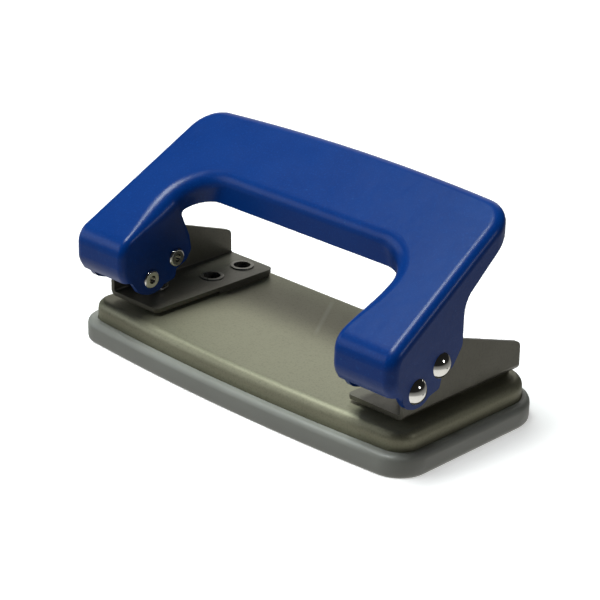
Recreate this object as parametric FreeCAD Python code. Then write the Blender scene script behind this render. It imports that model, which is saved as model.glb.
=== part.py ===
import FreeCAD, Part
import math
import os

# Two-hole desk paper punch. Millimetres, +Z up. The origin is the centre of the
# underside of the chip tray. +X runs along the base, +Y away from the side the
# paper goes in. The punch is symmetric about the plane X = 0. The Y dimensions
# below are laid out from a datum line; save() moves the finished pieces by
# datum_y, so that the origin lies under the middle of the tray.

V = FreeCAD.Vector
os.makedirs("parts", exist_ok=True)

# ---------------------------------------------------------------- dimensions
hole_pitch = 80.0            # filing-hole pitch
punch_x = hole_pitch / 2.0

# lever pivot, drive pin and punch
pivot_y, pivot_z = -15.0, 17.7
drive_y, drive_z = -7.2, 20.9
punch_y = -6.9               # the drive pin swings 0.6 mm in Y about this line
lever_travel = math.radians(26.0)
pivot_d = 3.0
drive_d = 2.8
run_gap = 0.05               # radial running clearance

# lever: drawn sheet-steel shell
lever_t = 1.2
lever_front = -23.8
lever_x_front, lever_x_rear = 48.5, 45.7      # outer cheek at the front / rear corner
lever_rear_mid, lever_rear_side = 18.4, 16.7
lever_rear_r = 7.5
win_x_front, win_x_rear = 32.0, 32.5          # sides of the hand opening
win_y = -0.2
win_r_low, win_r_high = 4.6, 9.4               # corner radius grows up the wall, as drawn metal does
win_z_low, win_z_high = 30.0, 43.0
walls_z0, walls_z1 = 12.5, 60.0
face_angle = math.radians(29.6)
face_y0, face_z0 = -21.5, 28.7                # a point of the sloping face
bend_r = 5.0
fold_r = 2.3
fold_r_leg, fold_r_window = 1.6, 3.8           # the fold opens out from the legs to the hand opening's corners
lobe_r = 4.0
hem_z, hem_in, hem_low = 20.4, 1.5, 18.0      # the front wall leans in towards its lower edge
front_low = 18.3                              # lower edge of the front wall

# pins
head_d, head_h = 5.6, 1.5
tail_d, tail_h, tail_bore = 4.3, 0.7, 1.9

# base plate: pressed inverted pan
plate_t = 1.2
base_top = 9.3
base_wall_low = 3.2
base_x = 48.4
base_front_mid, base_front_side, base_rear = -21.5, -19.2, 24.1
base_r, base_r_rear = 5.0, 7.7
base_fold_r = 2.2

# chip tray
tray_rim_z = 4.9
tray_ledge_z = 3.2
tray_floor = 1.2
tray_out_top, tray_out_low = 1.0, 2.3         # how far the tray stands outside the plate
tray_round = 1.3
tray_out_rear = 0.7                           # the rear wall stands out by this share of it
tray_gap = 0.1

# brackets
sheet_t = 1.0
paper_gap = 0.9
br_in, br_out = 29.5, 45.1
br_front, br_rear = -15.7, 21.8
bend_in_r = 0.4
stop_y = 4.4                                  # rear end of the paper throat
plate_z0 = base_top + paper_gap
plate_z1 = plate_z0 + sheet_t
ear_x0, ear_x1 = br_out - sheet_t, br_out

# tubular rivets
rivet_x = 35.7
rivet_ys = (7.3, 17.2)
rivet_barrel_d, rivet_bore_d, rivet_head_d, rivet_head_h = 4.9, 4.1, 5.8, 0.28

# punch, collar and spring
punch_d = 5.5
punch_z0 = plate_z0 + 0.2
punch_z1 = drive_z + 2.7
slot_w, slot_h = 3.6, drive_d + 2 * run_gap
collar_d, collar_t, collar_z = 6.4, 0.7, 18.2
spring_wire, spring_turns = 0.4, 5.0
spring_r = 3.05                               # to the wire's centre

tray_front_y = base_front_mid - tray_out_low
tray_rear_y = base_rear + tray_out_low * tray_out_rear
datum_y = -(tray_front_y + tray_rear_y) / 2


# ---------------------------------------------------------------- helpers
def line(a, b):
    return Part.LineSegment(a, b).toShape()


def arc3(a, m, b):
    return Part.Arc(a, m, b).toShape()


def rounded_face(pts, plane="xy", at=0.0):
    """Closed polygon whose corners (u, v, r) are rounded by arcs of radius r."""
    def P(u, v):
        return V(u, v, at) if plane == "xy" else V(at, u, v)
    n = len(pts)
    segs = []
    for i in range(n):
        u, v, r = pts[i]
        pu, pv, _ = pts[i - 1]
        nu, nv, _ = pts[(i + 1) % n]
        if r <= 0:
            segs.append(((u, v), None, (u, v)))
            continue
        a = (pu - u, pv - v)
        b = (nu - u, nv - v)
        la, lb = math.hypot(*a), math.hypot(*b)
        a = (a[0] / la, a[1] / la)
        b = (b[0] / lb, b[1] / lb)
        ang = math.acos(max(-1, min(1, a[0] * b[0] + a[1] * b[1])))
        t = r / math.tan(ang / 2)
        bis = (a[0] + b[0], a[1] + b[1])
        lbis = math.hypot(*bis)
        bis = (bis[0] / lbis, bis[1] / lbis)
        d = r / math.sin(ang / 2)
        c = (u + bis[0] * d, v + bis[1] * d)
        p0 = (u + a[0] * t, v + a[1] * t)
        p1 = (u + b[0] * t, v + b[1] * t)
        m = (c[0] - bis[0] * r, c[1] - bis[1] * r)
        segs.append((p0, m, p1))
    edges = []
    for i in range(n):
        p0, m, p1 = segs[i]
        q0 = segs[(i + 1) % n][0]
        if m is not None:
            edges.append(arc3(P(*p0), P(*m), P(*p1)))
        if math.hypot(p1[0] - q0[0], p1[1] - q0[1]) > 1e-6:
            edges.append(line(P(*p1), P(*q0)))
    return Part.Face(Part.Wire(edges))


def prism_x(pts, x0, x1):
    f = rounded_face(pts, "yz", x0)
    return f.extrude(V(x1 - x0, 0, 0))


def prism_z(pts, z0, z1):
    f = rounded_face(pts, "xy", z0)
    return f.extrude(V(0, 0, z1 - z0))


def cyl(p, axis, r, h):
    return Part.makeCylinder(r, h, V(*p), V(*axis))


def cyl_x(x0, x1, y, z, r):
    return cyl((x0, y, z), (1, 0, 0), r, x1 - x0)


def cyl_z(x, y, z0, z1, r):
    return cyl((x, y, z0), (0, 0, 1), r, z1 - z0)


def box(x0, x1, y0, y1, z0, z1):
    return Part.makeBox(x1 - x0, y1 - y0, z1 - z0, V(x0, y0, z0))


def mirror(s):
    return s.mirror(V(0, 0, 0), V(1, 0, 0))


def clean(s):
    s = s.removeSplitter()
    if s.ShapeType == "Compound" and len(s.Solids) == 1:
        s = s.Solids[0]
    return s


def save(name, shape):
    shape = shape.copy()
    shape.translate(V(0, datum_y, 0))
    ok = shape.isValid() and all(x.isValid() for x in shape.Solids)
    bb = shape.BoundBox
    print("%-22s solids %d valid %s vol %.1f  x %.2f..%.2f y %.2f..%.2f z %.2f..%.2f" % (
        name, len(shape.Solids), ok, shape.Volume, bb.XMin, bb.XMax, bb.YMin, bb.YMax, bb.ZMin, bb.ZMax))
    shape.exportStep("parts/%s.step" % name)


def vertical_edges(s, x, y, tol=0.6):
    out = []
    for e in s.Edges:
        vs = [v.Point for v in e.Vertexes]
        if len(vs) == 2 and abs(vs[0].x - vs[1].x) < 1e-4 and abs(vs[0].y - vs[1].y) < 1e-4:
            if abs(abs(vs[0].x) - x) < tol and abs(vs[0].y - y) < tol:
                out.append(e)
    return out


def dome(x, y, z, d, h, sign):
    """Round rivet head with its flat side at x, standing out along sign * X."""
    r = ((d / 2) ** 2 + h ** 2) / (2 * h)
    rim = 0.25
    prof = [V(0, 0, 0), V(0, d / 2, 0)]
    a = V(0, 0, 0); b = V(0, d / 2, 0); c = V(rim, d / 2, 0)
    top = V(rim + h, 0, 0)
    ang = math.asin((d / 2) / r) / 2
    mid = V(rim + h - r + r * math.cos(ang), r * math.sin(ang), 0)
    w = Part.Wire([line(a, b), line(b, c), arc3(c, mid, top), line(top, a)])
    s = Part.Face(w).revolve(V(0, 0, 0), V(1, 0, 0), 360)
    if s.ShapeType != "Solid":
        s = Part.Solid(s) if s.ShapeType == "Shell" else s.Solids[0]
    if sign < 0:
        s = mirror(s)
    s.translate(V(x, y, z))
    return s


# ---------------------------------------------------------------- lever
def lever_plan(off, z0, z1):
    """The lever's U outline seen from above, moved inwards by off."""
    def xo(y):
        return lever_x_front + (lever_x_rear - lever_x_front) * (y - lever_front) / (lever_rear_side - lever_front) - off
    def xi(y):
        return win_x_front + (win_x_rear - win_x_front) * (y - lever_front) / (win_y - lever_front) + off
    yf = lever_front + off
    yr, ym = lever_rear_side - off, lever_rear_mid - off
    yw = win_y + off
    P = lambda x, y: V(x, y, z0)
    e = [line(P(-xo(yf), yf), P(-xi(yf), yf)),
         line(P(-xi(yf), yf), P(-xi(yw), yw)),
         line(P(-xi(yw), yw), P(xi(yw), yw)),
         line(P(xi(yw), yw), P(xi(yf), yf)),
         line(P(xi(yf), yf), P(xo(yf), yf)),
         line(P(xo(yf), yf), P(xo(yr), yr)),
         arc3(P(xo(yr), yr), P(0, ym), P(-xo(yr), yr)),
         line(P(-xo(yr), yr), P(-xo(yf), yf))]
    s = Part.Face(Part.Wire(e)).extrude(V(0, 0, z1 - z0))
    rear = vertical_edges(s, xo(yr), yr)
    s = s.makeFillet(lever_rear_r - off, rear)
    k = (win_r_high - win_r_low) / (win_z_high - win_z_low)
    lo = max(win_r_low + k * (z0 - win_z_low), 0.3) + off
    hi = win_r_high + k * (z1 - win_z_high) + off
    for sx in (-1, 1):
        win = [q for q in vertical_edges(s, xi(yw), yw) if q.Vertexes[0].Point.x * sx > 0]
        up = win[0].Vertexes[0].Point.z < win[0].Vertexes[1].Point.z
        s = s.makeFillet(lo if up else hi, hi if up else lo, win)
    return s


def lever_profile(off, low):
    """Side view: upright front wall rolling over into the sloping face."""
    t = math.tan(face_angle)
    dz = off / math.cos(face_angle)
    yf = lever_front + off
    zf = face_z0 + (yf - face_y0) * t - dz
    yr = 30.0
    zr = face_z0 + (yr - face_y0) * t - dz
    # offset of the leaning lower part of the front wall
    lean = math.atan2(hem_in, hem_z - hem_low)
    zk = hem_z + off * math.tan(lean / 2)
    z3 = low + 2.5
    y3 = yf + (zk - z3) * math.tan(lean)
    return prism_x([(y3, low, 0), (yr, low, 0), (yr, zr, 0), (yf, zf, bend_r - off), (yf, zk, 5.0 - off), (y3, z3, 0)], -60, 60)


z_low = walls_z0
outer = lever_plan(0.0, walls_z0, walls_z1).common(lever_profile(0.0, walls_z0 - 1))
outer = clean(outer)
inner = lever_plan(lever_t, walls_z0 - 2, walls_z1).common(lever_profile(lever_t, walls_z0 - 3))
inner = clean(inner)


def fold_edges(s, zmin):
    """Edges of the roof outline and of the upright front corners."""
    out = []
    for e in s.Edges:
        bb = e.BoundBox
        if bb.ZMax <= zmin + 0.01:
            continue
        vs = [v.Point for v in e.Vertexes]
        # the lines where front wall, bend and sloping face meet one another
        if abs(vs[0].y - vs[-1].y) < 1e-4 and abs(vs[0].z - vs[-1].z) < 1e-4 and abs(vs[0].x - vs[-1].x) > 5:
            if e.Curve.TypeId.endswith("Line") and vs[0].y < -10:
                continue
        # upright edges of the rear and window walls are smooth seams
        upright = abs(vs[0].x - vs[-1].x) < 0.05 and abs(vs[0].y - vs[-1].y) < 0.05
        if upright and vs[0].y > lever_front + 3:
            continue
        # seams of the growing window corners
        if bb.ZLength > 15 and vs[0].y > lever_front + 5 and vs[-1].y > lever_front + 5 and abs(vs[0].z - vs[-1].z) > 15:
            continue
        out.append(e)
    return out


def by_window(e):
    """Whether an edge belongs to the hand opening and not to the outside of the lever."""
    bb = e.BoundBox
    return max(abs(bb.XMin), abs(bb.XMax)) < 38.0 and bb.YMax < 6.0


def round_folds(s, zmin, r_leg, r_window, r_out):
    """The fold is tight down the legs and opens out towards the corners of the hand opening."""
    doc = FreeCAD.newDocument()
    base = doc.addObject("Part::Feature", "body")
    base.Shape = s
    chosen = [e for e in fold_edges(s, zmin) if by_window(e)]
    rows = []
    for i, e in enumerate(s.Edges):
        if not any(e.isSame(c) for c in chosen):
            continue
        p, q = e.valueAt(e.FirstParameter), e.valueAt(e.LastParameter)
        if e.Orientation == "Reversed":
            pass
        r = []
        for v in (p, q):
            r.append(r_leg if v.y < -15.0 else r_window)
        rows.append((i + 1, r[0], r[1]))
    f = doc.addObject("Part::Fillet", "folds")
    f.Base = base
    f.Edges = rows
    doc.recompute()
    s = f.Shape.copy()
    FreeCAD.closeDocument(doc.Name)
    if s.ShapeType == "Compound":
        s = s.Solids[0]
    es = [e for e in fold_edges(s, zmin) if not by_window(e)]
    return s.makeFillet(r_out, [e for e in es if abs(e.BoundBox.XMin) > 42 or abs(e.BoundBox.XMax) > 42 or e.BoundBox.YMin > 6])


outer = round_folds(outer, walls_z0, fold_r_leg, fold_r_window, fold_r)
inner = round_folds(inner, walls_z0 - 2, fold_r_leg - lever_t, fold_r_window - lever_t, fold_r - lever_t)
print("lever folds rounded:", outer.isValid(), inner.isValid(), round(outer.Volume, 1), round(inner.Volume, 1))

shell = outer.cut(inner)

# lower trim of the outer cheeks and rear wall, seen from the side
trim_rear = [(16.0, 44.8, 0), (26.0, 51.6, 0), (26.0, 70.0, 0), (-30.0, 70.0, 0), (-30.0, front_low, 0)]
lobe = [(-20.8, front_low, 1.2), (-18.5, 15.0, 2.6), (-15.0, pivot_z - lobe_r, 6.0), (-12.3, 14.4, 3.0),
        (-10.9, 15.35, 1.0), (-7.6, 15.95, 1.0), (-7.0, 18.2, 0.6)]
keep_out = lobe + [(-3.4, 19.3, 2.0), (-0.3, 23.2, 2.0), (-0.3, 31.6, 6.0), (1.2, 34.0, 4.0)] + trim_rear
keep_in = lobe + [(-4.0, 19.3, 2.0), (-2.4, 21.6, 1.5), (-3.1, 25.3, 6.0), (-5.8, 31.5, 1.2), (-0.4, 34.1, 8.0)] + trim_rear
K_out = prism_x(keep_out, 38.5, 60).fuse(prism_x(keep_out, -60, -38.5))
K_in = prism_x(keep_in, -38.5, 38.5)
K_mid = K_in.fuse(K_out)
lever = shell.common(K_mid)
lever = clean(lever)
print("lever solids", len(lever.Solids), [round(s.Volume, 1) for s in lever.Solids])


def cheek_out(y):
    return lever_x_front + (lever_x_rear - lever_x_front) * (y - lever_front) / (lever_rear_side - lever_front)


def cheek_in(y):
    return win_x_front + (win_x_rear - win_x_front) * (y - lever_front) / (win_y - lever_front)


def rivet_pin(y, z, d):
    """Headed pin: domed head outside the outer cheek, rolled tubular end inside."""
    # the seats are faced just below the lowest point of the slightly sloping cheek
    xh = cheek_out(y + head_d / 2) - 0.04
    xt = cheek_in(y + tail_d / 2) + 0.04
    body = cyl_x(xt, xh, y, z, d / 2)
    head = dome(xh, y, z, head_d, head_h, 1)
    tail = cyl_x(xt - tail_h, xt, y, z, tail_d / 2)
    tail = tail.makeFillet(0.45, [e for e in tail.Edges if abs(e.BoundBox.XMax - (xt - tail_h)) < 1e-3 and e.Curve.TypeId.endswith("Circle")])
    p = body.fuse([head, tail])
    p = p.cut(cyl_x(xt - tail_h - 1, xt + 1.8, y, z, tail_bore / 2))
    seats = [cyl_x(xh, xh + 4, y, z, head_d / 2), cyl_x(xt - 4, xt, y, z, tail_d / 2), cyl_x(xt - 4, xh + 4, y, z, d / 2),
             cyl_x(-xh - 4, -xh, y, z, head_d / 2), cyl_x(-xt, -xt + 4, y, z, tail_d / 2), cyl_x(-xh - 4, -xt + 4, y, z, d / 2)]
    return clean(p), seats


pivot_r, seats_p = rivet_pin(pivot_y, pivot_z, pivot_d)
drive_r, seats_d = rivet_pin(drive_y, drive_z, drive_d)
for tool in seats_p + seats_d:
    lever = lever.cut(tool)
lever = clean(lever)
save("handle_lever", lever)
save("pivot_pin_right", pivot_r)
save("pivot_pin_left", mirror(pivot_r))
save("drive_pin_right", drive_r)
save("drive_pin_left", mirror(drive_r))


# ---------------------------------------------------------------- base plate
def base_outline(off):
    """Plan outline of the base at a distance off outside the plate's wall."""
    x = base_x + off
    yf, ym = base_front_side - off, base_front_mid - off
    yr = base_rear + (off * tray_out_rear if off > tray_gap else off)
    return x, yf, ym, yr


def base_wire(off, z):
    """Bowed front edge, straight sides and rear, rounded corners."""
    x, yf, ym, yr = base_outline(off)
    r, rr = base_r + off, base_r_rear + off
    s = ym - yf                        # negative sagitta
    R = (x * x + s * s) / (2 * abs(s))
    cy = ym + R                        # centre of the front arc
    # corner arc of radius r, tangent to the side and, from inside, to the front arc
    cx = x - r
    ccy = cy - math.sqrt((R - r) ** 2 - cx * cx)
    k = R / (R - r)
    tx, ty = cx * k, cy + (ccy - cy) * k
    def q(a, b):
        return V(a, b, z)
    c45 = math.atan2(ty - ccy, tx - cx) / 2
    fr_mid = q(cx + r * math.cos(c45), ccy + r * math.sin(c45))
    fl_mid = q(-(cx + r * math.cos(c45)), ccy + r * math.sin(c45))
    k2 = rr * math.sqrt(0.5)
    e = [arc3(q(-tx, ty), q(0, ym), q(tx, ty)),
         arc3(q(tx, ty), fr_mid, q(x, ccy)),
         line(q(x, ccy), q(x, yr - rr)),
         arc3(q(x, yr - rr), q(x - rr + k2, yr - rr + k2), q(x - rr, yr)),
         line(q(x - rr, yr), q(-(x - rr), yr)),
         arc3(q(-(x - rr), yr), q(-(x - rr + k2), yr - rr + k2), q(-x, yr - rr)),
         line(q(-x, yr - rr), q(-x, ccy)),
         arc3(q(-x, ccy), fl_mid, q(-tx, ty))]
    return Part.Wire(e)


def base_prism(off, z0, z1):
    return Part.Face(base_wire(off, z0)).extrude(V(0, 0, z1 - z0))


pan = base_prism(0, base_wall_low, base_top)
pan = pan.makeFillet(base_fold_r, [e for e in pan.Edges if e.BoundBox.ZMin > base_top - 0.01])
void = base_prism(-plate_t, base_wall_low - 1, base_top - plate_t)
void = void.makeFillet(base_fold_r - plate_t, [e for e in void.Edges if e.BoundBox.ZMin > base_top - plate_t - 0.01])
base = pan.cut(void)
holes = []
for sx in (-1, 1):
    holes.append(cyl_z(sx * punch_x, punch_y, 0, 30, punch_d / 2 + run_gap))
    for y in rivet_ys:
        holes.append(cyl_z(sx * rivet_x, y, 0, 30, rivet_barrel_d / 2))
base = clean(base.cut(holes[0].fuse(holes[1:])))
save("base_plate", base)

# ---------------------------------------------------------------- chip tray
# upright wall with a rounded upper edge; the lower edge is just broken
wall_top = tray_rim_z - tray_round
rim = [(tray_out_low - tray_round + tray_round * math.cos(math.radians(a)), wall_top + tray_round * math.sin(math.radians(a)))
       for a in (0, 22, 45, 68)]
skin = Part.makeLoft([base_wire(tray_out_low - 0.35, 0.0), base_wire(tray_out_low - 0.08, 0.35), base_wire(tray_out_low, 0.8)]
                     + [base_wire(o, z) for o, z in rim] + [base_wire(tray_out_top, tray_rim_z)], True, True)
well = base_prism(-plate_t - 0.9, tray_floor, 20)
rebate = base_prism(tray_gap, tray_ledge_z, 20)
tray = clean(skin.cut(well.fuse(rebate)))
save("bottom_tray", tray)

# ---------------------------------------------------------------- brackets
arm = math.hypot(drive_y - pivot_y, drive_z - pivot_z)
arm_ang = math.atan2(drive_z - pivot_z, drive_y - pivot_y)


def arc_slot(r_mid, half_w, a0, a1, x0, x1):
    """Slot that follows an arc about the pivot, with round ends."""
    def p(r, a):
        return V(x0, pivot_y + r * math.cos(a), pivot_z + r * math.sin(a))
    am = (a0 + a1) / 2
    da = half_w / r_mid
    w = Part.Wire([arc3(p(r_mid - half_w, a0), p(r_mid - half_w, am), p(r_mid - half_w, a1)),
                   arc3(p(r_mid - half_w, a1), p(r_mid, a1 + da), p(r_mid + half_w, a1)),
                   arc3(p(r_mid + half_w, a1), p(r_mid + half_w, am), p(r_mid + half_w, a0)),
                   arc3(p(r_mid + half_w, a0), p(r_mid, a0 - da), p(r_mid - half_w, a0))])
    return Part.Face(w).extrude(V(x1 - x0, 0, 0))


def bracket():
    # L section: plate, bend, upright ear
    z0, z1, t = plate_z0, plate_z1, sheet_t
    ro, ri = bend_in_r + t, bend_in_r
    k = math.sqrt(0.5)
    def q(x, z):
        return V(x, -40, z)
    e = [line(q(br_in, z0), q(br_out - ro, z0)),
         arc3(q(br_out - ro, z0), q(br_out - ro + ro * k, z0 + ro - ro * k), q(br_out, z0 + ro)),
         line(q(br_out, z0 + ro), q(br_out, 40)),
         line(q(br_out, 40), q(br_out - t, 40)),
         line(q(br_out - t, 40), q(br_out - t, z1 + ri)),
         arc3(q(br_out - t, z1 + ri), q(br_out - t - ri + ri * k, z1 + ri - ri * k), q(br_out - t - ri, z1)),
         line(q(br_out - t - ri, z1), q(br_in, z1)),
         line(q(br_in, z1), q(br_in, z0))]
    s = Part.Face(Part.Wire(e)).extrude(V(0, 80, 0))
    # plan trim of the plate
    plan = prism_z([(br_in, br_front, 1.2), (60, br_front, 0), (60, 40, 0), (38.5, 40, 0), (38.5, br_rear, 0), (br_in, br_rear, 1.8)], 0, 60)
    # side trim of the ear
    side = prism_x([(br_front, 0, 0), (br_front, 12.4, 2.0), (-19.6, 15.2, 3.0), (-19.9, 21.4, 4.0), (-12.6, 22.2, 6.0), (-3.0, 25.0, 4.0),
                    (21.6, 16.8, 1.6), (21.8, 10.0, 1.3), (20.8, 10.0, 0), (20.8, 0, 0)], 20, 60)
    s = s.common(plan).common(side)
    extra = math.radians(2.0)
    slot = arc_slot(arm, drive_d / 2 + 0.3, arm_ang - lever_travel - extra, arm_ang + extra, ear_x0 - 1, ear_x1 + 1)
    cut = [slot, cyl_x(40, 60, pivot_y, pivot_z, pivot_d / 2 + run_gap),
           cyl_z(punch_x, punch_y, 0, 14, punch_d / 2 + run_gap)]
    for y in rivet_ys:
        cut.append(cyl_z(rivet_x, y, 0, 14, rivet_barrel_d / 2))
    return clean(s.cut(cut[0].fuse(cut[1:])))


br = bracket()
save("bracket_right", br)
save("bracket_left", mirror(br))


def spacer():
    s = prism_z([(br_in + 0.5, stop_y, 0.4), (br_out - 1.9, stop_y, 0.4), (br_out - 1.9, br_rear - 0.5, 0.8), (br_in + 0.5, br_rear - 0.5, 0.8)], base_top, plate_z0)
    cut = [cyl_z(rivet_x, y, 0, 14, rivet_barrel_d / 2) for y in rivet_ys]
    return clean(s.cut(cut[0].fuse(cut[1:])))


sp = spacer()
save("spacer_right", sp)
save("spacer_left", mirror(sp))


def tube_rivet(y):
    """Tubular rivet: rolled flange on the plate, rolled flange under the base."""
    zt, zb = plate_z1, base_top - plate_t
    barrel = cyl_z(rivet_x, y, zb - rivet_head_h, zt + rivet_head_h, rivet_barrel_d / 2)
    top = cyl_z(rivet_x, y, zt, zt + rivet_head_h, rivet_head_d / 2)
    top = top.makeFillet(0.18, [e for e in top.Edges if e.BoundBox.ZMin > zt + rivet_head_h - 0.01 and e.Curve.TypeId.endswith("Circle")])
    low = cyl_z(rivet_x, y, zb - rivet_head_h, zb, rivet_head_d / 2)
    low = low.makeFillet(0.18, [e for e in low.Edges if e.BoundBox.ZMax < zb - rivet_head_h + 0.01 and e.Curve.TypeId.endswith("Circle")])
    s = barrel.fuse([top, low]).cut(cyl_z(rivet_x, y, 0, 20, rivet_bore_d / 2))
    return clean(s)


rv = [tube_rivet(y) for y in rivet_ys]
save("rivets_right", Part.makeCompound(rv))
save("rivets_left", Part.makeCompound([mirror(s) for s in rv]))


# ---------------------------------------------------------------- punch, collar, spring
def punch():
    s = cyl_z(punch_x, punch_y, punch_z0, punch_z1, punch_d / 2)
    s = s.makeFillet(0.4, [e for e in s.Edges if e.BoundBox.ZMin > punch_z1 - 0.01 and e.Curve.TypeId.endswith("Circle")])
    # two-point cutting end: a shallow cylinder hollow across the end
    hollow_r = 5.5
    depth = 0.75
    s = s.cut(cyl((punch_x - 6, punch_y, punch_z0 - hollow_r + depth), (1, 0, 0), hollow_r, 12))
    # cross slot for the drive pin
    hw, hh = slot_w / 2, slot_h / 2
    sl = prism_x([(punch_y - hw, drive_z - hh, hh - 0.001), (punch_y + hw, drive_z - hh, hh - 0.001),
                  (punch_y + hw, drive_z + hh, hh - 0.001), (punch_y - hw, drive_z + hh, hh - 0.001)], punch_x - 6, punch_x + 6)
    s = s.cut(sl)
    # groove that holds the collar
    ring = cyl_z(punch_x, punch_y, collar_z, collar_z + collar_t, punch_d / 2 + 1).cut(cyl_z(punch_x, punch_y, collar_z, collar_z + collar_t, punch_d / 2 - 0.45))
    return clean(s.cut(ring))


pu = punch()
save("punch_right", pu)
save("punch_left", mirror(pu))


def collar():
    """Open retaining ring that sits in the punch's groove."""
    s = cyl_z(punch_x, punch_y, collar_z, collar_z + collar_t, collar_d / 2)
    s = s.cut(cyl_z(punch_x, punch_y, 0, 30, punch_d / 2 - 0.45))
    s = s.cut(box(punch_x - 1.5, punch_x + 1.5, punch_y - 6, punch_y - 1.0, 0, 30))
    return clean(s)


co = collar()
save("collar_right", co)
save("collar_left", mirror(co))


def spring():
    """Compression spring with a closed turn at each end."""
    z0 = plate_z1 + spring_wire / 2 + 0.005
    z1 = collar_z - spring_wire / 2 - 0.005
    end_pitch = spring_wire + 0.06
    fine, quarter, step = 48, 12, 4           # points in a turn, in an edge, and between fitted points

    def share(t):
        # 0 in the closed end turns, 1 in the open ones, with a soft change between
        u = max(0.0, min(1.0, (min(t, spring_turns - t) - 0.75) / 0.5))
        return u * u * (3 - 2 * u)
    slope = [share((i + 0.5) / fine) for i in range(int(spring_turns * fine))]
    k = sum(slope) / fine
    open_pitch = ((z1 - z0) - end_pitch * (spring_turns - k)) / k
    zs = [z0]
    for q in slope:
        zs.append(zs[-1] + (end_pitch + (open_pitch - end_pitch) * q) / fine)

    def point(i):
        a = 2 * math.pi * i / fine
        return V(spring_r * math.cos(a), spring_r * math.sin(a), zs[i])

    def tangent(i):
        a = 2 * math.pi * i / fine
        lo, hi = max(i - 1, 0), min(i + 1, len(zs) - 1)
        rise = (zs[hi] - zs[lo]) / (hi - lo) * fine
        return V(-spring_r * math.sin(a), spring_r * math.cos(a), rise / (2 * math.pi))
    edges = []
    for i in range(0, len(zs) - 1, quarter):
        ks = list(range(i, i + quarter + 1, step))
        c = Part.BSplineCurve()
        scale = 2 * math.pi / fine * step
        c.interpolate(Points=[point(k) for k in ks], InitialTangent=tangent(ks[0]) * scale, FinalTangent=tangent(ks[-1]) * scale)
        edges.append(c.toShape())
    circ = Part.Wire(Part.makeCircle(spring_wire / 2, point(0), tangent(0)))
    s = Part.Wire(edges).makePipeShell([circ], True, True)
    if s.ShapeType != "Solid":
        s = s.Solids[0]
    s.translate(V(punch_x, punch_y, 0))
    return s


sg = spring()
save("return_spring_right", sg)
save("return_spring_left", mirror(sg))
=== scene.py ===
import math

import bmesh
import bpy
from mathutils import Matrix, Vector


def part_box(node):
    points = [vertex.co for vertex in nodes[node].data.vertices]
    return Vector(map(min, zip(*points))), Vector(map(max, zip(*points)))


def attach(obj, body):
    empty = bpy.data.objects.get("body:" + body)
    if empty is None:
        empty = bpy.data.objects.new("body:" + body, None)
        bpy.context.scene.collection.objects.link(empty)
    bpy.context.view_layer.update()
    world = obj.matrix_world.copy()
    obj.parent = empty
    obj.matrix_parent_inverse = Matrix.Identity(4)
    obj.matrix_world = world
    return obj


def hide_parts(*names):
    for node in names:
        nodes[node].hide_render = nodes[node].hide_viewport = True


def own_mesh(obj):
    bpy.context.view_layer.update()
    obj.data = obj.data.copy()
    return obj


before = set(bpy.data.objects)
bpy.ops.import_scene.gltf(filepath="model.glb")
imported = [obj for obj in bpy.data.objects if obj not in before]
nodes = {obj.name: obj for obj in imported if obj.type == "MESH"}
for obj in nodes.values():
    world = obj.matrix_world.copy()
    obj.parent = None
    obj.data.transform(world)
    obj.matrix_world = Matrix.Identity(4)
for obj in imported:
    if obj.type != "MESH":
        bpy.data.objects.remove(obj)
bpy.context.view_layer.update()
scene = bpy.context.scene
scene.view_settings.view_transform = "Standard"
scene.view_settings.look = "None"

# ------------------------------------------------------------------ camera
cam_data = bpy.data.cameras.new("camera")
cam_data.lens = 120.547
cam_data.sensor_width = 36.0
cam_data.sensor_fit = "HORIZONTAL"
cam_data.clip_start, cam_data.clip_end = 0.01, 50.0
cam_data.dof.use_dof = False
cam = bpy.data.objects.new("camera", cam_data)
scene.collection.objects.link(cam)
ax = Vector((0.7149, 0.6988, 0.0260)).normalized()
az = Vector((0.6364, -0.6655, 0.3899))
az = (az - ax * az.dot(ax)).normalized()
ay = az.cross(ax)
rot = Matrix((ax, ay, az)).transposed().to_4x4()
cam.matrix_world = Matrix.Translation((0.2820804, -0.2957347, 0.1911892)) @ rot
scene.camera = cam


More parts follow.
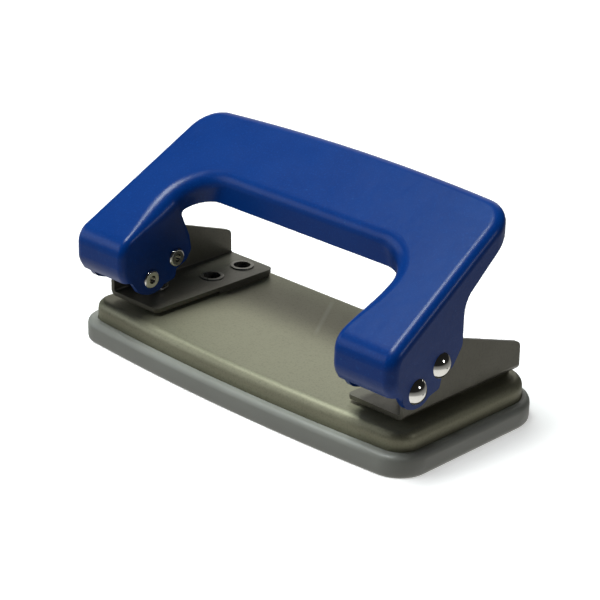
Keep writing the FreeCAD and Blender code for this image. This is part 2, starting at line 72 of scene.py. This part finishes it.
# ------------------------------------------------------------------ material helpers
class Mat:
    """A node material built from a Principled shader and object-space noises."""

    def __init__(self, name, **fixed):
        self.m = bpy.data.materials.new(name)
        self.m.use_nodes = True
        self.t = self.m.node_tree
        self.b = next(n for n in self.t.nodes if n.type == "BSDF_PRINCIPLED")
        for k, v in fixed.items():
            s = self.b.inputs[k.replace("_", " ")]
            s.default_value = (*v, 1.0) if isinstance(v, tuple) and len(v) == 3 and s.type == "RGBA" else v
        self.co = self.t.nodes.new("ShaderNodeTexCoord").outputs["Object"]
        self.height = None

    def link(self, a, b):
        self.t.links.new(a, b)

    def mapping(self, scale=(1, 1, 1), rot=(0, 0, 0)):
        n = self.t.nodes.new("ShaderNodeMapping")
        n.inputs["Scale"].default_value = scale
        n.inputs["Rotation"].default_value = rot
        self.link(self.co, n.inputs["Vector"])
        return n.outputs["Vector"]

    def noise(self, scale, detail=3.0, rough=0.5, vec=None, distortion=0.0):
        n = self.t.nodes.new("ShaderNodeTexNoise")
        n.inputs["Scale"].default_value = scale
        n.inputs["Detail"].default_value = detail
        n.inputs["Roughness"].default_value = rough
        n.inputs["Distortion"].default_value = distortion
        self.link(vec or self.co, n.inputs["Vector"])
        return n.outputs["Fac"]

    def voronoi(self, scale, vec=None, feature="F1"):
        n = self.t.nodes.new("ShaderNodeTexVoronoi")
        n.feature = feature
        n.inputs["Scale"].default_value = scale
        self.link(vec or self.co, n.inputs["Vector"])
        return n.outputs["Distance"]

    def remap(self, x, a, b, c, d):
        n = self.t.nodes.new("ShaderNodeMapRange")
        for k, v in zip(("From Min", "From Max", "To Min", "To Max"), (a, b, c, d)):
            n.inputs[k].default_value = v
        self.link(x, n.inputs["Value"])
        return n.outputs["Result"]

    def math(self, op, x, y):
        n = self.t.nodes.new("ShaderNodeMath")
        n.operation = op
        for i, v in enumerate((x, y)):
            if isinstance(v, (int, float)):
                n.inputs[i].default_value = v
            else:
                self.link(v, n.inputs[i])
        return n.outputs[0]

    def ramp(self, x, stops):
        n = self.t.nodes.new("ShaderNodeValToRGB")
        e = n.color_ramp.elements
        while len(e) < len(stops):
            e.new(0.5)
        for el, (p, c) in zip(e, stops):
            el.position = p
            el.color = (*c, 1.0)
        self.link(x, n.inputs["Fac"])
        return n.outputs["Color"]

    def mix(self, fac, a, b, mode="MIX"):
        n = self.t.nodes.new("ShaderNodeMix")
        n.data_type = "RGBA"
        n.blend_type = mode
        if isinstance(fac, (int, float)):
            n.inputs[0].default_value = fac
        else:
            self.link(fac, n.inputs[0])
        for i, v in ((6, a), (7, b)):
            if isinstance(v, tuple):
                n.inputs[i].default_value = (*v, 1.0)
            else:
                self.link(v, n.inputs[i])
        return n.outputs[2]

    def set(self, socket, value):
        self.link(value, self.b.inputs[socket])

    def bump(self, height, strength, distance):
        n = self.t.nodes.new("ShaderNodeBump")
        n.inputs["Strength"].default_value = strength
        n.inputs["Distance"].default_value = distance
        self.link(height, n.inputs["Height"])
        if self.height is not None:
            self.link(self.height, n.inputs["Normal"])
        self.height = n.outputs["Normal"]
        self.link(self.height, self.b.inputs["Normal"])
        return self


def blue_enamel():
    m = Mat("blue_enamel", Coat_Weight=0.04, Coat_Roughness=0.12, Specular_IOR_Level=0.20)
    cloud = m.noise(45.0, 4.0, 0.6)
    fleck = m.noise(2600.0, 2.0, 0.6)
    col = m.ramp(m.remap(cloud, 0.3, 0.7, 0.0, 1.0), [(0.0, (0.0005, 0.032, 0.200)), (1.0, (0.0008, 0.041, 0.236))])
    col = m.mix(m.remap(fleck, 0.54, 0.70, 0.0, 0.42), col, (0.004, 0.070, 0.34))
    # dust specks caught in the baked coat
    speck = m.voronoi(210.0)
    col = m.mix(m.remap(speck, 0.035, 0.055, 0.5, 0.0), col, (0.012, 0.085, 0.32))
    m.set("Base Color", col)
    rub = m.noise(150.0, 4.0, 0.65)
    m.set("Roughness", m.remap(rub, 0.3, 0.7, 0.29, 0.33))
    peel = m.noise(520.0, 2.0, 0.45)
    m.bump(peel, 0.22, 0.00016)
    m.bump(fleck, 0.06, 0.00003)
    return m.m


def base_steel():
    m = Mat("base_steel", Metallic=0.5, Specular_IOR_Level=0.5)
    grain = m.noise(1.0, 3.0, 0.6, vec=m.mapping((260.0, 4200.0, 2600.0)))
    sand = m.noise(2300.0, 3.0, 0.65)
    blot = m.noise(38.0, 4.0, 0.6)
    col = m.ramp(m.remap(blot, 0.3, 0.7, 0.0, 1.0), [(0.0, (0.255, 0.249, 0.170)), (1.0, (0.295, 0.288, 0.199))])
    col = m.mix(m.remap(grain, 0.35, 0.75, 0.0, 0.35), col, (0.36, 0.355, 0.26))
    col = m.mix(m.remap(sand, 0.50, 0.72, 0.0, 0.55), col, (0.17, 0.165, 0.115))
    # a few hairline rubs left by sheets of paper, along the feed direction
    rub = m.noise(1.0, 2.0, 0.5, vec=m.mapping((900.0, 22.0, 200.0), (0.0, 0.0, 0.12)))
    col = m.mix(m.remap(rub, 0.70, 0.78, 0.0, 0.30), col, (0.50, 0.49, 0.39))
    # one longer, lighter streak across the middle of the plate
    sep = m.t.nodes.new("ShaderNodeSeparateXYZ")
    m.link(m.co, sep.inputs[0])
    off = m.math("ABSOLUTE", m.math("SUBTRACT", sep.outputs["X"], m.math("SUBTRACT", 0.0032, m.math("MULTIPLY", sep.outputs["Y"], 0.62))), 0.0)
    along = m.math("ABSOLUTE", m.math("SUBTRACT", sep.outputs["Y"], 0.0115), 0.0)
    mark = m.math("MULTIPLY", m.remap(off, 0.0002, 0.0009, 0.55, 0.0), m.remap(along, 0.006, 0.009, 1.0, 0.0))
    mark = m.math("MULTIPLY", mark, m.remap(sand, 0.35, 0.6, 0.5, 1.0))
    col = m.mix(mark, col, (0.42, 0.41, 0.32))
    m.set("Base Color", col)
    m.set("Roughness", m.math("ADD", m.remap(grain, 0.3, 0.7, 0.42, 0.52), m.remap(blot, 0.3, 0.7, -0.03, 0.04)))
    m.bump(grain, 0.12, 0.00002)
    m.bump(sand, 0.16, 0.00003)
    return m.m


def bracket_steel():
    m = Mat("bracket_steel", Metallic=0.45, Specular_IOR_Level=0.5)
    grain = m.noise(1.0, 3.0, 0.6, vec=m.mapping((4200.0, 260.0, 260.0)))
    sand = m.noise(2000.0, 3.0, 0.65)
    blot = m.noise(60.0, 4.0, 0.6)
    col = m.ramp(m.remap(blot, 0.3, 0.7, 0.0, 1.0), [(0.0, (0.128, 0.124, 0.096)), (1.0, (0.160, 0.155, 0.121))])
    col = m.mix(m.remap(sand, 0.50, 0.72, 0.0, 0.5), col, (0.09, 0.086, 0.068))
    m.set("Base Color", col)
    m.set("Roughness", m.math("ADD", m.remap(grain, 0.3, 0.7, 0.34, 0.46), m.remap(blot, 0.3, 0.7, -0.03, 0.03)))
    m.bump(grain, 0.10, 0.00002)
    m.bump(sand, 0.12, 0.00003)
    return m.m


def rivet_steel():
    m = Mat("rivet_steel", Metallic=0.6, Specular_IOR_Level=0.5)
    rub = m.noise(420.0, 4.0, 0.6)
    m.set("Base Color", m.ramp(rub, [(0.3, (0.17, 0.165, 0.145)), (0.7, (0.25, 0.245, 0.215))]))
    m.set("Roughness", m.remap(rub, 0.3, 0.7, 0.24, 0.40))
    m.bump(m.noise(1500.0, 2.0, 0.5), 0.08, 0.00003)
    return m.m


def pin_chrome():
    m = Mat("pin_chrome", Metallic=1.0, Specular_IOR_Level=0.5)
    rub = m.noise(520.0, 4.0, 0.65)
    m.set("Base Color", m.ramp(rub, [(0.3, (0.72, 0.71, 0.67)), (0.7, (0.80, 0.79, 0.75))]))
    m.set("Roughness", m.remap(rub, 0.3, 0.7, 0.05, 0.12))
    m.bump(m.noise(900.0, 2.0, 0.5), 0.05, 0.00003)
    return m.m


def tool_steel():
    m = Mat("tool_steel", Metallic=1.0, Specular_IOR_Level=0.5)
    turn = m.noise(1.0, 2.0, 0.5, vec=m.mapping((120.0, 120.0, 5200.0)))
    m.set("Base Color", m.ramp(turn, [(0.3, (0.44, 0.44, 0.43)), (0.7, (0.56, 0.56, 0.55))]))
    m.set("Roughness", m.remap(turn, 0.3, 0.7, 0.18, 0.30))
    m.bump(turn, 0.10, 0.00002)
    return m.m


def spring_steel():
    m = Mat("spring_steel", Metallic=1.0, Specular_IOR_Level=0.5)
    rub = m.noise(800.0, 3.0, 0.6)
    m.set("Base Color", m.ramp(rub, [(0.3, (0.33, 0.32, 0.30)), (0.7, (0.47, 0.46, 0.43))]))
    m.set("Roughness", m.remap(rub, 0.3, 0.7, 0.24, 0.38))
    m.bump(m.noise(3000.0, 2.0, 0.5), 0.06, 0.00001)
    return m.m


def tray_plastic():
    m = Mat("tray_plastic", Specular_IOR_Level=0.5, Subsurface_Weight=0.25, Subsurface_Scale=0.0012,
            Subsurface_Radius=(1.0, 0.95, 0.85))
    cloud = m.noise(30.0, 4.0, 0.6)
    fine = m.noise(1900.0, 3.0, 0.6)
    m.set("Base Color", m.ramp(m.remap(cloud, 0.3, 0.7, 0.0, 1.0), [(0.0, (0.245, 0.252, 0.228)), (1.0, (0.285, 0.292, 0.266))]))
    m.set("Roughness", m.remap(fine, 0.3, 0.7, 0.36, 0.50))
    m.bump(fine, 0.10, 0.00004)
    return m.m


mats = {f.__name__: f() for f in (blue_enamel, base_steel, bracket_steel, rivet_steel, pin_chrome, tool_steel, spring_steel, tray_plastic)}
finish_of = {"handle_lever": "blue_enamel", "base_plate": "base_steel", "bottom_tray": "tray_plastic"}
for side in ("left", "right"):
    finish_of.update({"pivot_pin_" + side: "pin_chrome", "drive_pin_" + side: "pin_chrome", "bracket_" + side: "bracket_steel",
                      "spacer_" + side: "bracket_steel", "rivets_" + side: "rivet_steel", "punch_" + side: "tool_steel",
                      "collar_" + side: "spring_steel", "return_spring_" + side: "spring_steel"})
for name, slot_name in finish_of.items():
    o = nodes[name]
    o.data.materials.clear()
    o.data.materials.append(mats[slot_name])

# ------------------------------------------------------------------ broken edges on the sheet metal
edge_break = {"base_plate": 0.00012, "bottom_tray": 0.00018, "bracket_left": 0.00012, "bracket_right": 0.00012,
              "spacer_left": 0.00006, "spacer_right": 0.00006}
for name, width in edge_break.items():
    o = nodes[name]
    w = o.modifiers.new("join", "WELD")
    w.merge_threshold = 2e-6
    b = o.modifiers.new("edge", "BEVEL")
    b.width = width
    b.segments = 2
    b.limit_method = "ANGLE"
    b.angle_limit = math.radians(40)
    b.harden_normals = False
    b.use_clamp_overlap = True


# ------------------------------------------------------------------ return springs
def spring_piece(side):
    """Wire coil with a closed turn at each end."""
    lo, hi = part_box("return_spring_" + side)
    sx = -1 if side == "left" else 1
    cx, cy = sx * 0.040, -0.0069 - 0.000955
    r, wire, turns = 0.00305, 0.0002, 5.0
    z0, z1 = 0.0112 + wire, 0.0182 - wire
    fine, end_pitch = 40, 0.00046

    def share(t):
        u = max(0.0, min(1.0, (min(t, turns - t) - 0.75) / 0.5))
        return u * u * (3 - 2 * u)
    slope = [share((i + 0.5) / fine) for i in range(int(turns * fine))]
    k = sum(slope) / fine
    open_pitch = ((z1 - z0) - end_pitch * (turns - k)) / k
    zs = [z0]
    for q in slope:
        zs.append(zs[-1] + (end_pitch + (open_pitch - end_pitch) * q) / fine)
    bm = bmesh.new()
    rings = []
    ring_n = 12
    for i, z in enumerate(zs):
        a = 2 * math.pi * i / fine
        rise = (zs[min(i + 1, len(zs) - 1)] - zs[max(i - 1, 0)]) * fine / (2.0 if 0 < i < len(zs) - 1 else 1.0)
        p = Vector((cx + sx * r * math.cos(a), cy + r * math.sin(a), z))
        t = Vector((-sx * r * math.sin(a), r * math.cos(a), rise / (2 * math.pi))).normalized()
        n = Vector((sx * math.cos(a), math.sin(a), 0))
        bnorm = t.cross(n).normalized()
        # a ring of points round the wire's section at each step along the coil
        rings.append([bm.verts.new(p + n * (wire * math.cos(w)) + bnorm * (wire * math.sin(w)))
                      for w in [2 * math.pi * j / ring_n for j in range(ring_n)]])
    for a, b in zip(rings, rings[1:]):
        for j in range(ring_n):
            f = bm.faces.new((a[j], a[(j + 1) % ring_n], b[(j + 1) % ring_n], b[j]))
            f.smooth = True
    bm.faces.new(rings[0])
    bm.faces.new(rings[-1])
    bmesh.ops.recalc_face_normals(bm, faces=bm.faces)
    me = bpy.data.meshes.new("coil_" + side)
    bm.to_mesh(me)
    bm.free()
    me.materials.append(mats["spring_steel"])
    o = bpy.data.objects.new("coil_" + side, me)
    scene.collection.objects.link(o)
    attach(o, "base")
    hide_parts("return_spring_" + side)
    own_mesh(o)
    return o


for side in ("left", "right"):
    spring_piece(side)

# ------------------------------------------------------------------ floor and light
me = bpy.data.meshes.new("floor")
S = 20.0
me.from_pydata([(-S, -S, 0), (S, -S, 0), (S, S, 0), (-S, S, 0)], [], [(0, 1, 2, 3)])
floor = bpy.data.objects.new("floor", me)
scene.collection.objects.link(floor)
fm = Mat("floor_paint", Roughness=0.75, Specular_IOR_Level=0.2, Emission_Color=(1.0, 1.0, 1.0))
fm.set("Base Color", fm.ramp(fm.noise(4.0, 2.0, 0.5), [(0.3, (0.86, 0.86, 0.86)), (0.7, (0.90, 0.90, 0.90))]))
# the lamps only reach the middle of the floor, so the rest of it is lifted to the same white
reach = fm.t.nodes.new("ShaderNodeVectorMath")
reach.operation = "LENGTH"
fm.link(fm.co, reach.inputs[0])
fm.set("Emission Strength", fm.remap(reach.outputs["Value"], 0.3, 1.2, 0.45, 0.93))
me.materials.append(fm.m)

# pale studio wall all round, seen by the camera only
bm = bmesh.new()
bmesh.ops.create_uvsphere(bm, u_segments=48, v_segments=24, radius=5.0)
me = bpy.data.meshes.new("backdrop")
bm.to_mesh(me)
bm.free()
backdrop = bpy.data.objects.new("backdrop", me)
scene.collection.objects.link(backdrop)
wm = Mat("backdrop_paint", Roughness=1.0, Specular_IOR_Level=0.0, Emission_Color=(1.0, 1.0, 1.0), Emission_Strength=0.93)
wm.b.inputs["Base Color"].default_value = (0.0, 0.0, 0.0, 1.0)
me.materials.append(wm.m)
for hide in ("visible_glossy", "visible_diffuse", "visible_transmission", "visible_shadow"):
    setattr(backdrop, hide, False)
# the surroundings that the metal reflects are the world's; the floor only receives light and shadow
floor.visible_glossy = False
floor.visible_diffuse = False

world = bpy.data.worlds.new("world")
scene.world = world
world.use_nodes = True
wt = world.node_tree
bg = next(n for n in wt.nodes if n.type == "BACKGROUND")
sep = wt.nodes.new("ShaderNodeSeparateXYZ")
wt.links.new(wt.nodes.new("ShaderNodeTexCoord").outputs["Generated"], sep.inputs[0])
up = wt.nodes.new("ShaderNodeMapRange")
for k, v in zip(("From Min", "From Max", "To Min", "To Max"), (-1.0, 1.0, 0.0, 1.0)):
    up.inputs[k].default_value = v
wt.links.new(sep.outputs["Z"], up.inputs["Value"])
sky = wt.nodes.new("ShaderNodeValToRGB")
stops = [(0.0, 0.95), (0.25, 0.85), (0.315, 0.36), (0.47, 0.16), (0.53, 0.015), (1.0, 0.012)]
while len(sky.color_ramp.elements) < len(stops):
    sky.color_ramp.elements.new(0.5)
for el, (at, v) in zip(sky.color_ramp.elements, stops):
    el.position = at
    el.color = (v, v * 0.99, v * 0.96, 1.0)
wt.links.new(up.outputs["Result"], sky.inputs["Fac"])
wt.links.new(sky.outputs["Color"], bg.inputs["Color"])
bg.inputs["Strength"].default_value = 1.0


def area(name, loc, target, size, power, colour=(1, 1, 1), size_y=None):
    d = bpy.data.lights.new(name, "AREA")
    d.energy = power
    d.color = colour
    d.shape = "RECTANGLE"
    d.size = size
    d.size_y = size_y or size
    o = bpy.data.objects.new(name, d)
    o.location = loc
    o.rotation_mode = "QUATERNION"
    o.rotation_quaternion = (Vector(loc) - Vector(target)).to_track_quat("Z", "Y")
    scene.collection.objects.link(o)
    return o


area("softbox_top", (-0.28, -0.27, 1.30), (0, 0, 0), 0.56, 18.6, (0.96, 1.0, 0.99), 0.50)
area("softbox_sheen", (-0.54, 0.03, 1.24), (0, 0, 0.03), 0.24, 0.8, (0.65, 1.0, 0.92), 0.50)
area("glint", (1.0, 0.39, 0.42), (0, 0, 0.02), 0.18, 0.9)
area("softbox_back", (-0.90, 1.10, 0.62), (0, 0, 0.02), 1.3, 4.4, (1.0, 0.98, 0.94))
area("softbox_left", (-1.25, -0.55, 0.40), (0, 0, 0.02), 0.7, 1.9, (0.88, 0.97, 1.0))
area("softbox_front", (-0.90, -1.05, 0.50), (0, 0, 0.02), 0.6, 1.8, (0.97, 0.98, 1.0))
